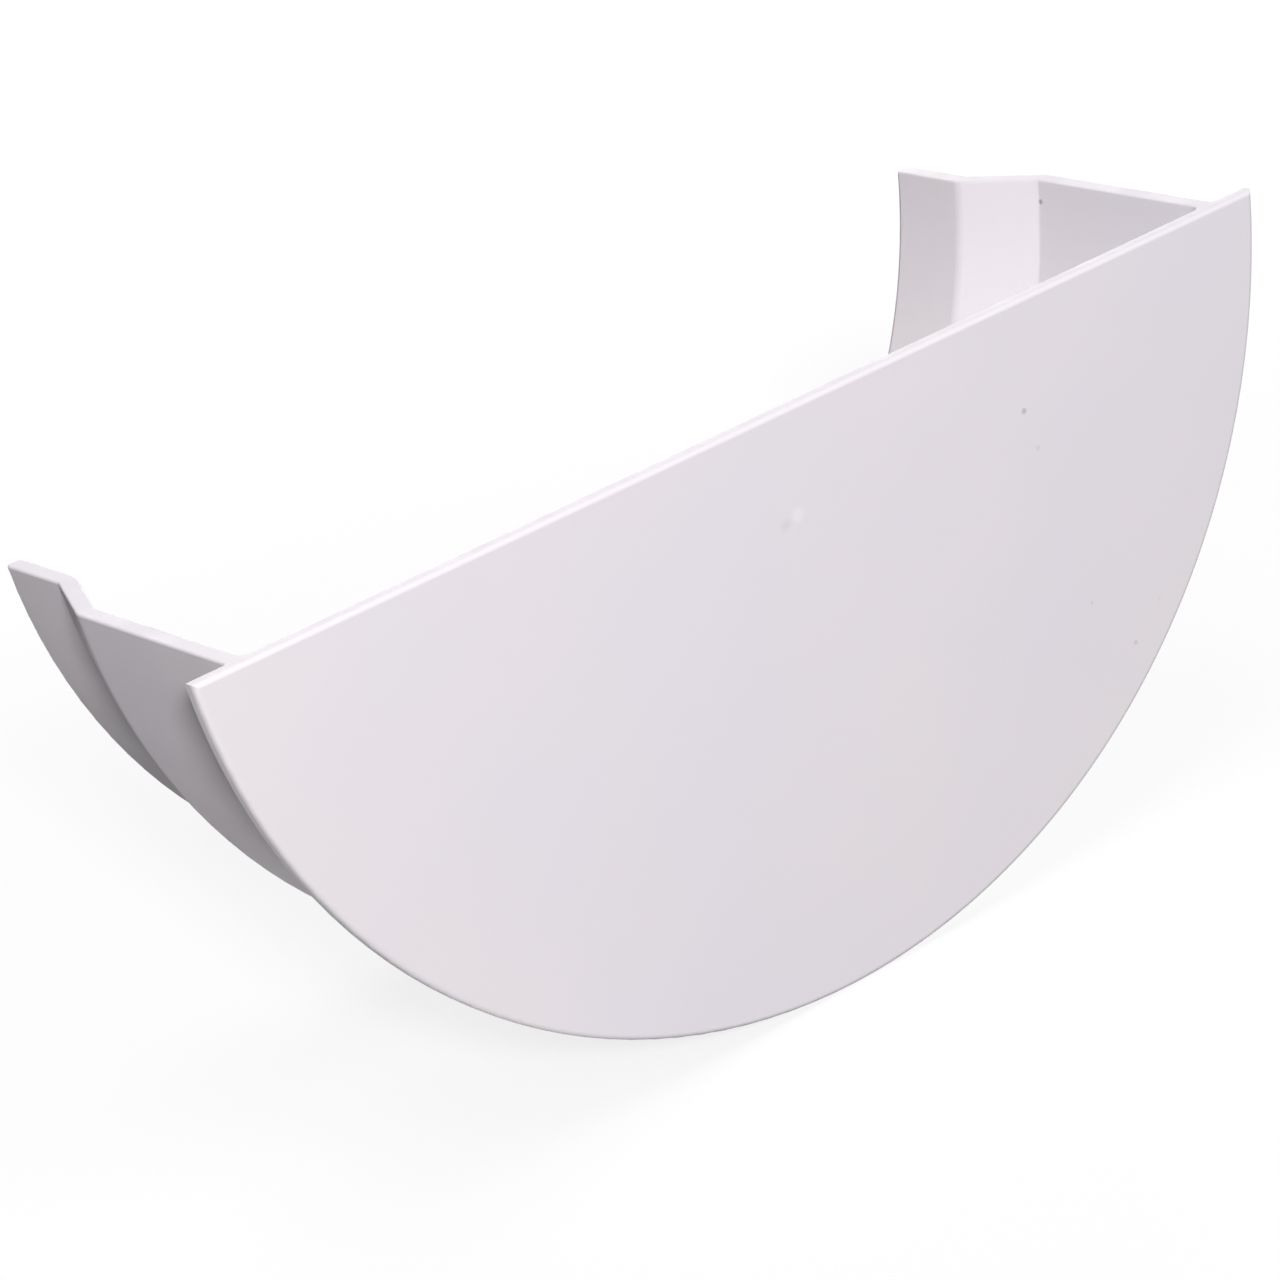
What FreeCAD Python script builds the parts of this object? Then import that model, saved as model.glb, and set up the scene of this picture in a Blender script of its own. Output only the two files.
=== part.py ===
import FreeCAD, Part
import math
import os
import Sketcher

# Half-round gutter end cap, moulded in one piece.
# X runs along the plate's width, Y out of the mouth, Z up.
# The origin is the middle of the top edge of the plate's inner face, where the gutter's end butts.

# Driving sizes, in mm.
SIZES = [
    ("gutter_width", 112.0),  # outside width of the gutter at its rims
    ("fit_gap", 0.5),  # room between gutter and mouth, each side
    ("axis_rise", 6.7),  # height of the gutter's axis above the rims
    ("wall", 1.8),
    ("step_out", 3.6),  # how far the chamber stands outside the mouth
    ("chamber_len", 23.7),
    ("step_len", 9.3),
    ("mouth_len", 9.2),
    ("bend_round", 0.8),  # tight side of both bends of the step
    ("flange_side", 4.4),  # plate beyond the chamber at the rims
    ("flange_low", 3.8),  # plate beyond the chamber at the lowest point
    ("plate_thick", 1.3),
    ("edge_round", 0.55),  # the plate's whole front outline
    ("corner_round", 1.2),  # inside, between plate and chamber
    ("root_round", 0.5),  # outside, between flange and chamber
    ("lip_round", 0.6),  # both edges of the mouth's end
    ("rim_round", 0.2),  # edges of the level top behind the plate's front
]

# Sizes that follow from them.
WORKED_OUT = [
    ("mouth_radius", "sqrt((gutter_width / 2 + fit_gap) ^ 2 + axis_rise ^ 2)"),
    ("chamber_radius", "mouth_radius + step_out"),
    ("chamber_half", "sqrt((chamber_radius + wall) ^ 2 - axis_rise ^ 2)"),
    ("plate_half", "chamber_half + flange_side"),
    ("plate_depth", "chamber_radius + wall - axis_rise + flange_low"),
    ("plate_rise", "(plate_half ^ 2 - plate_depth ^ 2) / (2 * plate_depth)"),
    ("step_end", "chamber_len + step_len"),
    ("socket_depth", "step_end + mouth_len"),
]

doc = FreeCAD.newDocument("end_cap")
sheet = doc.addObject("Spreadsheet::Sheet", "Sizes")
cells = [(name, str(value)) for name, value in SIZES]
cells += [(name, "=" + formula) for name, formula in WORKED_OUT]
for row, (name, text) in enumerate(cells, start=1):
    sheet.set("A%d" % row, name)
    sheet.set("B%d" % row, text)
    sheet.setAlias("B%d" % row, name)
doc.recompute()
size = {name: float(sheet.get(name)) for name, text in cells}

body = doc.addObject("PartDesign::Body", "end_cap")
body.Label = "end_cap"
UP = FreeCAD.Vector(0, 0, 1)


def vec(x, y):
    return FreeCAD.Vector(x, y, 0)


def new_sketch(name, role):
    sketch = body.newObject("Sketcher::SketchObject", name)
    for item in body.Origin.OriginFeatures:
        if item.Role == role:
            sketch.AttachmentSupport = [(item, "")]
    sketch.MapMode = "FlatFace"
    return sketch


def bind(sketch, name, alias, kind, *places, times=1):
    """Adds a constraint whose value follows the sheet."""
    index = sketch.addConstraint(Sketcher.Constraint(kind, *places, times * size[alias]))
    sketch.renameConstraint(index, name)
    sketch.setExpression("Constraints." + name, "%d * Sizes.%s" % (times, alias))


# End plate: a circular segment under a straight top edge, its thickness outward from the inner face.
outline = new_sketch("PlateOutline", "XZ_Plane")
half = size["plate_half"]
rise = size["plate_rise"]
plate_radius = math.hypot(half, rise)
swing = math.atan2(rise, half)
circle = Part.Circle(vec(0, rise), UP, plate_radius)
outline.addGeometry(Part.ArcOfCircle(circle, math.pi + swing, 2 * math.pi - swing))
outline.addGeometry(Part.LineSegment(vec(half, 0), vec(-half, 0)))
outline.addConstraint(Sketcher.Constraint("Coincident", 0, 2, 1, 1))
outline.addConstraint(Sketcher.Constraint("Coincident", 1, 2, 0, 1))
outline.addConstraint(Sketcher.Constraint("Symmetric", 1, 1, 1, 2, -1, 1))
outline.addConstraint(Sketcher.Constraint("Horizontal", 1))
bind(outline, "plate_width", "plate_half", "DistanceX", 1, 2, 1, 1, times=2)
bind(outline, "plate_rise", "plate_rise", "DistanceY", -1, 1, 0, 3)

plate = body.newObject("PartDesign::Pad", "Plate")
plate.Profile = outline
plate.setExpression("Length", "Sizes.plate_thick")

# Skirt: one wall section of even thickness, stepped inward from the chamber to the mouth
# and turned about the gutter's axis, which is the sketch's own horizontal axis.
section = new_sketch("WallSection", "YZ_Plane")
section.setExpression(".AttachmentOffset.Base.y", "Sizes.axis_rise")

wall = size["wall"]
mouth_in = -size["mouth_radius"]
mouth_out = mouth_in - wall
chamber_in = -size["chamber_radius"]
chamber_out = chamber_in - wall
end = size["socket_depth"]

# Each bend has one centre for both faces, so the wall keeps its thickness through the step.
tight = size["bend_round"]
loose = tight + wall
first = vec(size["chamber_len"], chamber_in + tight)
second = vec(size["step_end"], mouth_out - tight)
across = second - first
slope = math.asin((tight + loose) / across.Length) + math.atan2(across.y, across.x)
below = 1.5 * math.pi
above = 0.5 * math.pi


def bend(centre, radius, start):
    return Part.ArcOfCircle(Part.Circle(centre, UP, radius), start, start + slope)


def on_bend(centre, radius, angle):
    return centre + vec(radius * math.cos(angle), radius * math.sin(angle))


section.addGeometry([
    Part.LineSegment(vec(0, chamber_in), on_bend(first, tight, below)),
    bend(first, tight, below),
    Part.LineSegment(on_bend(first, tight, below + slope), on_bend(second, loose, above + slope)),
    bend(second, loose, above),
    Part.LineSegment(on_bend(second, loose, above), vec(end, mouth_in)),
    Part.LineSegment(vec(end, mouth_in), vec(end, mouth_out)),
    Part.LineSegment(vec(end, mouth_out), on_bend(second, tight, above)),
    bend(second, tight, above),
    Part.LineSegment(on_bend(second, tight, above + slope), on_bend(first, loose, below + slope)),
    bend(first, loose, below),
    Part.LineSegment(on_bend(first, loose, below), vec(0, chamber_out)),
    Part.LineSegment(vec(0, chamber_out), vec(0, chamber_in)),
])
for joint in [
    (0, 2, 1, 1), (1, 2, 2, 1), (2, 2, 3, 2), (3, 1, 4, 1),
    (6, 2, 7, 1), (7, 2, 8, 1), (8, 2, 9, 2), (9, 1, 10, 1),
]:
    section.addConstraint(Sketcher.Constraint("Tangent", *joint))
for joint in [(4, 2, 5, 1), (5, 2, 6, 1), (10, 2, 11, 1), (11, 2, 0, 1), (1, 3, 9, 3), (7, 3, 3, 3)]:
    section.addConstraint(Sketcher.Constraint("Coincident", *joint))
for line in (0, 4, 6, 10):
    section.addConstraint(Sketcher.Constraint("Horizontal", line))
for line in (5, 11):
    section.addConstraint(Sketcher.Constraint("Vertical", line))
section.addConstraint(Sketcher.Constraint("PointOnObject", 11, 2, -2))
bind(section, "mouth_radius", "mouth_radius", "DistanceY", 4, 2, -1, 1)
bind(section, "chamber_radius", "chamber_radius", "DistanceY", 0, 1, -1, 1)
bind(section, "chamber_wall", "wall", "DistanceY", 10, 2, 0, 1)
bind(section, "mouth_wall", "wall", "DistanceY", 5, 2, 5, 1)
bind(section, "bend_inside", "bend_round", "Radius", 1)
bind(section, "bend_outside", "bend_round", "Radius", 7)
bind(section, "step_start", "chamber_len", "DistanceX", -1, 1, 1, 3)
bind(section, "step_end", "step_end", "DistanceX", -1, 1, 7, 3)
bind(section, "socket_depth", "socket_depth", "DistanceX", -1, 1, 5, 1)

skirt = body.newObject("PartDesign::Revolution", "Skirt")
skirt.Profile = section
skirt.ReferenceAxis = (section, ["H_Axis"])
skirt.Angle = 360

# Open top: everything above the plate's straight edge is cut away, which leaves level rims.
opening = new_sketch("TopOpening", "XZ_Plane")
wide = 2 * half
corners = [vec(-wide, 0), vec(wide, 0), vec(wide, wide), vec(-wide, wide)]
for index in range(4):
    opening.addGeometry(Part.LineSegment(corners[index], corners[(index + 1) % 4]))
for index in range(4):
    opening.addConstraint(Sketcher.Constraint("Coincident", index, 2, (index + 1) % 4, 1))
for line in (0, 2):
    opening.addConstraint(Sketcher.Constraint("Horizontal", line))
for line in (1, 3):
    opening.addConstraint(Sketcher.Constraint("Vertical", line))
opening.addConstraint(Sketcher.Constraint("Symmetric", 0, 1, 0, 2, -1, 1))
bind(opening, "width", "plate_half", "DistanceX", 0, 1, 0, 2, times=4)
bind(opening, "height", "plate_half", "DistanceY", 1, 1, 1, 2, times=2)

open_top = body.newObject("PartDesign::Pocket", "OpenTop")
open_top.Profile = opening
open_top.Type = "ThroughAll"
open_top.Midplane = True
doc.recompute()


def arcs_at(feature, y, *radii):
    """Names of the arcs of the given radii that lie in the plane at y."""
    names = []
    for index, edge in enumerate(feature.Shape.Edges, start=1):
        box = edge.BoundBox
        if not isinstance(edge.Curve, Part.Circle) or box.YLength > 0.001 or abs(box.Center.y - y) > 0.001:
            continue
        if any(abs(edge.Curve.Radius - radius) < 0.001 for radius in radii):
            names.append("Edge%d" % index)
    return names


def front_edges(feature):
    """Names of the edges round the plate's front face."""
    names = []
    for index, edge in enumerate(feature.Shape.Edges, start=1):
        box = edge.BoundBox
        if box.YLength < 0.001 and abs(box.Center.y + size["plate_thick"]) < 0.001:
            names.append("Edge%d" % index)
    return names


def rim_edges(feature):
    """Names of the edges in the plane of the rims, from the plate's inner face to the mouth."""
    names = []
    for index, edge in enumerate(feature.Shape.Edges, start=1):
        ends = [edge.FirstParameter, edge.LastParameter]
        points = [edge.valueAt(place) for place in ends + [sum(ends) / 2]]
        if all(abs(point.z) < 0.001 and point.y > -0.001 for point in points):
            names.append("Edge%d" % index)
    return names


def rounded(name, base, edges, alias):
    feature = body.newObject("PartDesign::Fillet", name)
    feature.Base = (base, edges)
    feature.setExpression("Radius", "Sizes." + alias)
    doc.recompute()
    return feature


corner = rounded("InnerCorner", open_top, arcs_at(open_top, 0, -chamber_in), "corner_round")
root = rounded("FlangeRoot", corner, arcs_at(corner, 0, -chamber_out), "root_round")
lip = rounded("MouthLip", root, arcs_at(root, end, -mouth_in, -mouth_out), "lip_round")
rims = rounded("Rims", lip, rim_edges(lip), "rim_round")
front = rounded("FrontEdge", rims, front_edges(rims), "edge_round")

for item in doc.Objects:
    if "Invalid" in item.State or "Error" in item.State:
        raise RuntimeError("%s did not build: %s" % (item.Label, item.State))
if body.Shape.isNull() or not body.Shape.isValid() or len(body.Shape.Solids) != 1:
    raise RuntimeError("the end cap is not one valid solid")

os.makedirs("parts", exist_ok=True)
body.Shape.exportStep("parts/end_cap.step")
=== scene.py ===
import math

import bpy
from mathutils import Euler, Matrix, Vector


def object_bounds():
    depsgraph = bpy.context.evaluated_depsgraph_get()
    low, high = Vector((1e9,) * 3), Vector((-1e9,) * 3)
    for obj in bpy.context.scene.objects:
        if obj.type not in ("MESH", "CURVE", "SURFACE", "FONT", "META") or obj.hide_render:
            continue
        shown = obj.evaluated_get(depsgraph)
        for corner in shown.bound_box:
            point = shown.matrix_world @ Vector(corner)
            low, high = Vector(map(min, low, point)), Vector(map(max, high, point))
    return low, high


MM = 0.001
WHITE = (1.0, 1.0, 1.0, 1.0)

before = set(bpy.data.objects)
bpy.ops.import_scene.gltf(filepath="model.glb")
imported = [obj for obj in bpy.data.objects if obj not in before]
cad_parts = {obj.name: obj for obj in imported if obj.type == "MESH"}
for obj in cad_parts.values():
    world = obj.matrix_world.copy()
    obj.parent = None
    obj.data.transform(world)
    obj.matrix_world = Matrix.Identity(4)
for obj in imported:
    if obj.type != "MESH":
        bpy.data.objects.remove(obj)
cad_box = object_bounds()
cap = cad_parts["end_cap"]
front_y = cad_box[0].y
floor_z = cad_box[0].z
centre = (cad_box[0] + cad_box[1]) / 2


def on_front(x, z):
    """A point on the plate's front, from its X and Z in mm."""
    return Vector((x * MM, front_y, z * MM))


# The photograph's camera: place in metres, turn in degrees, lens and sensor in mm.
CAMERA_PLACE = Vector((-0.26705, -0.35461, 0.15885))
CAMERA_TURN = (67.65, 10.66, -39.44)
CAMERA_LENS = 140.7
CAMERA_SENSOR = 36.0
CAMERA_CLIP = 0.01  # metres

# White PVC as it looks in even light, and the two tints that drift over it.
PVC_WHITE = (0.81, 0.765, 0.815, 1.0)
PVC_WARM = (0.82, 0.775, 0.795, 1.0)
PVC_COOL = (0.79, 0.75, 0.81, 1.0)
PVC_DRIFT = 0.5  # share of the tints in the colour
PVC_ROUGHNESS = (0.56, 0.70)  # of the glossiest and the dullest patches
PVC_IOR = 1.53
PVC_SPECULAR = 0.12  # low, so that the white studio doesn't wash out the folds

# Size in mm of the spots of each pattern in the PVC.
TINT_SIZE = 38.0
SINK_SIZE = 16.0
GLOSS_SIZE = 7.0
GRAIN_SIZE = 0.5

# Bumps in the surface: depth in mm, and strength.
SINK_BUMP = (0.4, 0.15)
GRAIN_BUMP = (0.1, 0.06)
PIT_BUMP = (0.05, 0.6)

# Dark specks in the moulding: place, radius in mm, and how dark they are.
SPECKS = [
    (on_front(31.8, -11.2), 0.42, 0.34),
    (on_front(32.8, -15.5), 0.35, 0.12),
    (on_front(41.3, -40.1), 0.35, 0.2),
    (on_front(45.3, -36.9), 0.3, 0.06),
    (on_front(36.4, -33.7), 0.3, 0.12),
    (Vector((60.1, 23.6, -2.3)) * MM, 0.5, 0.75),  # inside the right arm
]
# Grey of the dark specks, also used for the painted shade in the gate's pit.
SPECK_AND_SHADE_GREY = (0.10, 0.09, 0.08, 1.0)
SPECK_CORE = 0.4  # share of the radius that is fully dark

# Mark left by the gate in the middle of the front: a shallow pit, greyed a little as painted shade, beside a
# pale spot painted as its highlight.
GATE_HIGHLIGHT_PLACE = on_front(2.0, -10.6)
GATE_HIGHLIGHT_RADIUS = 1.2
GATE_HIGHLIGHT_WHITE = (0.90, 0.88, 0.90, 1.0)
GATE_HIGHLIGHT_SHARE = 0.55
PIT_PLACE = on_front(0.5, -11.2)
PIT_RADIUS = 1.0
PIT_SHADE_SHARE = 0.08

# Studio floor, in metres: it looks a little darker near the part, and white from FLOOR_FADE's end on.
FLOOR_REACH = 6.0
FLOOR_FADE = (0.1, 0.45)
FLOOR_LEVELS = (0.8, 1.0)
FLOOR_LIT = (0.2, 0.2, 0.2, 1.0)  # answers the lamps, so that the part's shadow shows
FLOOR_BOUNCE = 0.08  # how much of the lamps' light it throws back at the part

# A white card on the floor by the part's left side throws light up at it:
# its ends along X and Y and the fade round its edges, in mm.
CARD_X = (-200.0, -40.0)
CARD_Y = (0.0, 20.0)
CARD_FADE = 12.0
CARD_BOUNCE = 0.95

# Soft lights: place from the part's middle and size in metres, and power in watts.
SOFTBOXES = [
    ("key_softbox", (-0.44, -0.78, 0.45), 0.14, 8.6),
    ("top_softbox", (-0.15, -0.12, 0.77), 0.5, 2.2),
    ("back_softbox", (0.6, 0.78, 0.18), 0.6, 10.0),
    ("fill_softbox", (0.4, -0.8, 0.45), 0.4, 1.6),
]
AMBIENT = 0.02


class Nodes:
    """A node tree with short calls to add and join nodes."""

    def __init__(self, owner):
        owner.use_nodes = True
        self.tree = owner.node_tree
        self.tree.nodes.clear()

    def add(self, kind, inputs=None, **settings):
        """A new node whose inputs are each set to a value or linked to another node's output."""
        node = self.tree.nodes.new(kind)
        for name, value in settings.items():
            setattr(node, name, value)
        for name, value in (inputs or {}).items():
            socket = node.inputs[name]
            if isinstance(value, bpy.types.NodeSocket):
                self.tree.links.new(value, socket)
            else:
                socket.default_value = value
        return node

    def shader(self, kind, inputs):
        return self.add(kind, inputs).outputs[0]

    def math(self, operation, first, second):
        return self.add("ShaderNodeMath", {0: first, 1: second}, operation=operation).outputs[0]

    def ramp(self, value, low, high, to_low=0.0, to_high=1.0, smooth=True):
        node = self.add(
            "ShaderNodeMapRange",
            {"Value": value, "From Min": low, "From Max": high, "To Min": to_low, "To Max": to_high},
            interpolation_type="SMOOTHSTEP" if smooth else "LINEAR",
        )
        return node.outputs["Result"]

    def band(self, value, ends_mm, fade_mm):
        """1 between the two ends, fading to 0 outside them."""
        low, high = ends_mm
        rise = self.ramp(value, (low - fade_mm) * MM, low * MM)
        fall = self.ramp(value, (high + fade_mm) * MM, high * MM)
        return self.math("MULTIPLY", rise, fall)

    def distance(self, place, point):
        node = self.add("ShaderNodeVectorMath", {0: place, 1: point}, operation="DISTANCE")
        return node.outputs["Value"]

    def spot(self, place, point, radius_mm, core=0.0, strength=1.0):
        """A round spot of the given strength in its core, fading to 0 at its radius."""
        radius = radius_mm * MM
        return self.ramp(self.distance(place, point), radius, core * radius, 0.0, strength)

    def noise(self, place, size_mm, detail, roughness=0.5):
        node = self.add(
            "ShaderNodeTexNoise",
            {"Vector": place, "Scale": 1.0 / (size_mm * MM), "Detail": detail, "Roughness": roughness},
        )
        return node.outputs["Fac"]

    def mix(self, factor, first, second):
        node = self.add("ShaderNodeMix", {0: factor, 6: first, 7: second}, data_type="RGBA")
        return node.outputs[2]

    def bump(self, height, depth_and_strength, under=None, invert=False):
        """The surface's normal with a bump on it, over the bump that lies under it."""
        depth_mm, strength = depth_and_strength
        inputs = {"Height": height, "Distance": depth_mm * MM, "Strength": strength}
        if under:
            inputs["Normal"] = under
        return self.add("ShaderNodeBump", inputs, invert=invert).outputs["Normal"]


def pvc():
    material = bpy.data.materials.new("white_pvc")
    nodes = Nodes(material)
    place = nodes.add("ShaderNodeTexCoord").outputs["Object"]

    # Colour: slow drift between a warm and a cool white, then the specks, then the painted highlight and
    # painted shade of the gate's pit.
    drift = nodes.ramp(nodes.noise(place, TINT_SIZE, detail=3.0), 0.35, 0.65)
    colour = nodes.mix(drift, PVC_WARM, PVC_COOL)
    colour = nodes.mix(PVC_DRIFT, PVC_WHITE, colour)
    for point, radius, dark in SPECKS:
        speck = nodes.spot(place, point, radius, SPECK_CORE, dark)
        colour = nodes.mix(speck, colour, SPECK_AND_SHADE_GREY)
    # Painted highlight: the lit side of the gate's pit, painted pale into the colour.
    painted_highlight = nodes.spot(place, GATE_HIGHLIGHT_PLACE, GATE_HIGHLIGHT_RADIUS, strength=GATE_HIGHLIGHT_SHARE)
    colour = nodes.mix(painted_highlight, colour, GATE_HIGHLIGHT_WHITE)
    # Painted shade: the gate's pit is greyed a little as if in shadow; its bump further down is real.
    pit = nodes.spot(place, PIT_PLACE, PIT_RADIUS)
    colour = nodes.mix(nodes.math("MULTIPLY", pit, PIT_SHADE_SHARE), colour, SPECK_AND_SHADE_GREY)

    # Surface: fine moulded grain, slow sink waves, the gate's pit and uneven gloss.
    normal = nodes.bump(nodes.noise(place, GRAIN_SIZE, detail=3.0, roughness=0.6), GRAIN_BUMP)
    normal = nodes.bump(nodes.noise(place, SINK_SIZE, detail=1.0), SINK_BUMP, normal)
    normal = nodes.bump(pit, PIT_BUMP, normal, invert=True)
    patches = nodes.noise(place, GLOSS_SIZE, detail=4.0, roughness=0.65)
    dullness = nodes.ramp(patches, 0.3, 0.7, *PVC_ROUGHNESS)

    surface = nodes.shader(
        "ShaderNodeBsdfPrincipled",
        {
            "Base Color": colour,
            "Roughness": dullness,
            "Normal": normal,
            "IOR": PVC_IOR,
            "Specular IOR Level": PVC_SPECULAR,
        },
    )
    nodes.add("ShaderNodeOutputMaterial", {"Surface": surface})
    return material


def background_white(nodes):
    """1 for the rays that should see the white studio, 0 for the light that falls on the part."""
    path = nodes.add("ShaderNodeLightPath").outputs
    seen = nodes.math("MAXIMUM", path["Is Camera Ray"], path["Is Glossy Ray"])
    return nodes.math("MAXIMUM", seen, path["Is Transmission Ray"])


def floor_material():
    """White with the part's shadow where it is seen, and dark but for the card where it throws light back."""
    material = bpy.data.materials.new("studio_floor")
    nodes = Nodes(material)
    place = nodes.add("ShaderNodeTexCoord").outputs["Object"]

    level = nodes.ramp(nodes.distance(place, (0, 0, 0)), *FLOOR_FADE, *FLOOR_LEVELS)
    white = nodes.shader("ShaderNodeEmission", {"Color": WHITE, "Strength": level})
    lit = nodes.shader("ShaderNodeBsdfDiffuse", {"Color": FLOOR_LIT})
    seen = nodes.shader("ShaderNodeAddShader", {0: white, 1: lit})

    axes = nodes.add("ShaderNodeSeparateXYZ", {0: place}).outputs
    across = nodes.band(axes["X"], CARD_X, CARD_FADE)
    along = nodes.band(axes["Y"], CARD_Y, CARD_FADE)
    card = nodes.math("MULTIPLY", across, along)
    grey = nodes.ramp(card, 0.0, 1.0, FLOOR_BOUNCE, CARD_BOUNCE, smooth=False)
    bounce = nodes.shader("ShaderNodeBsdfDiffuse", {"Color": grey})

    surface = nodes.shader("ShaderNodeMixShader", {0: background_white(nodes), 1: bounce, 2: seen})
    nodes.add("ShaderNodeOutputMaterial", {"Surface": surface})
    return material


def add_floor():
    reach = FLOOR_REACH
    mesh = bpy.data.meshes.new("floor")
    corners = [(-reach, -reach, 0), (reach, -reach, 0), (reach, reach, 0), (-reach, reach, 0)]
    mesh.from_pydata(corners, [], [(0, 1, 2, 3)])
    mesh.materials.append(floor_material())
    floor = bpy.data.objects.new("floor", mesh)
    floor.location = (0, 0, floor_z)
    bpy.context.scene.collection.objects.link(floor)


def add_world():
    """A white studio to look at, which throws little light of its own."""
    world = bpy.data.worlds.new("studio")
    bpy.context.scene.world = world
    nodes = Nodes(world)
    level = nodes.ramp(background_white(nodes), 0.0, 1.0, AMBIENT, 1.0, smooth=False)
    back = nodes.shader("ShaderNodeBackground", {"Color": WHITE, "Strength": level})
    nodes.add("ShaderNodeOutputWorld", {"Surface": back})


def add_softbox(name, place, size, watts):
    """A square soft light, turned to the part's middle."""
    light = bpy.data.lights.new(name, "AREA")
    light.shape = "SQUARE"
    light.size = size
    light.energy = watts
    box = bpy.data.objects.new(name, light)
    box.location = centre + Vector(place)
    box.rotation_euler = (-Vector(place)).to_track_quat("-Z", "Y").to_euler()
    bpy.context.scene.collection.objects.link(box)


def add_camera():
    data = bpy.data.cameras.new("camera")
    data.lens = CAMERA_LENS
    data.sensor_width = CAMERA_SENSOR
    data.clip_start = CAMERA_CLIP
    camera = bpy.data.objects.new("camera", data)
    camera.location = CAMERA_PLACE
    camera.rotation_euler = Euler([math.radians(angle) for angle in CAMERA_TURN])
    bpy.context.scene.collection.objects.link(camera)
    bpy.context.scene.camera = camera


cap.data.materials.clear()
cap.data.materials.append(pvc())

add_floor()
add_world()
for softbox in SOFTBOXES:
    add_softbox(*softbox)
add_camera()
bpy.context.scene.view_settings.view_transform = "Standard"
